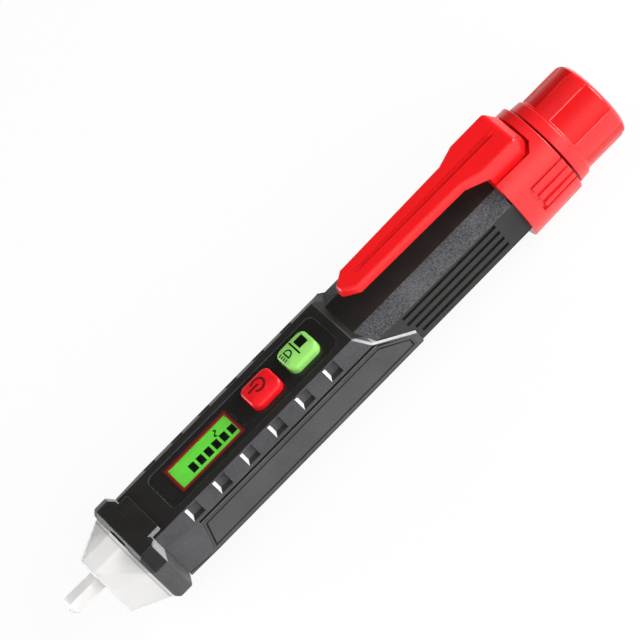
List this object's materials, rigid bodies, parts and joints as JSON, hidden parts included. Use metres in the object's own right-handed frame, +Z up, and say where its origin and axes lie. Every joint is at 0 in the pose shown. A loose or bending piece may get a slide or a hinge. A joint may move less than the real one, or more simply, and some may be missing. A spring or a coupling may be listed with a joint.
{
  "type": "non-contact voltage tester",
  "caption": "Pen-shaped non-contact voltage tester: clear nose with a probe blade, display, push buttons, pocket clip on a sleeve and a screw-on battery cap.",
  "frame": {"origin": "under the middle of the pen's length, on the surface it lies on with its back down", "axes": "+X from the probe's tip to the tail cap, +Z up through the display face, so the clip is on top"},
  "size_m": [0.16, 0.0254, 0.0269],
  "materials": {
    "clear_nose": "clear, slightly frosted",
    "cream_holder": "matte",
    "brass_strip": "plain",
    "black_shell": "satin moulded plastic",
    "grey_plate": "fine sandblasted texture",
    "dark_panel": "gloss",
    "frame_red": "gloss",
    "window_clear": "polished",
    "display_glass": "lit display",
    "light_plate": "diffusing",
    "board_green": "solder mask",
    "part_black": "matte",
    "led_clear": "clear",
    "led_red": "tinted",
    "steel": "bright plated",
    "button_red": "satin gloss",
    "button_green": "satin gloss",
    "cell_jacket": "printed jacket, left plain",
    "red_shell": "gloss",
    "seal_rubber": "matte"
  },
  "bodies": {
    "barrel": {"nose_lens": "clear_nose", "sensor_holder": "cream_holder", "sensor_antenna": "brass_strip", "front_collar": "black_shell", "upper_shell": "black_shell", "lower_shell": "black_shell", "near_plate": "grey_plate", "far_plate": "grey_plate", "display_panel": "dark_panel", "lcd_frame": "frame_red", "lcd_window": "window_clear", "lcd_glass": "display_glass", "lcd_backlight": "light_plate", "main_board": "board_green", "main_chip": "part_black", "buzzer": "part_black", "torch_led": "led_clear", "alarm_led": "led_red", "board_screws": "steel", "power_switch": "steel", "light_switch": "steel", "front_contact": "steel", "return_strip": "steel", "front_cell": "cell_jacket", "rear_cell": "cell_jacket", "battery_tube": "black_shell", "clip_sleeve": "red_shell", "cap_seal": "seal_rubber"},
    "power_key": {"power_button": "button_red", "power_plunger": "part_black"},
    "light_key": {"light_button": "button_green", "light_plunger": "part_black"},
    "clip": {"pocket_clip": "red_shell"},
    "cap_contact": {"contact_cup": "steel", "cell_spring": "steel"},
    "cap": {"tail_cap": "red_shell"}
  },
  "joints": [
    {"name": "power_press", "type": "slide", "parent": "barrel", "child": "power_key", "axis": [0, 0, -1], "range_m": [0, 0.0004], "stiffness_N_per_m": 300},
    {"name": "light_press", "type": "slide", "parent": "barrel", "child": "light_key", "axis": [0, 0, -1], "range_m": [0, 0.0004], "stiffness_N_per_m": 300},
    {"name": "clip_flex", "type": "hinge", "parent": "barrel", "child": "clip", "pos_m": [0.0608, 0, 0.0206], "axis": [0, 1, 0], "range_deg": [0, 5], "stiffness_Nm_per_rad": 2},
    {"name": "cap_travel", "type": "slide", "parent": "barrel", "child": "cap_contact", "axis": [1, 0, 0], "range_m": [0, 0.0048]},
    {"name": "cap_turn", "type": "hinge", "parent": "cap_contact", "child": "cap", "pos_m": [0.07, 0, 0.0112], "axis": [1, 0, 0], "range_deg": [0, 720]}
  ],
  "couplings": [
    {"joint": "cap_travel", "follows": "cap_turn", "m_per_rad": 0.00038197}
  ]
}
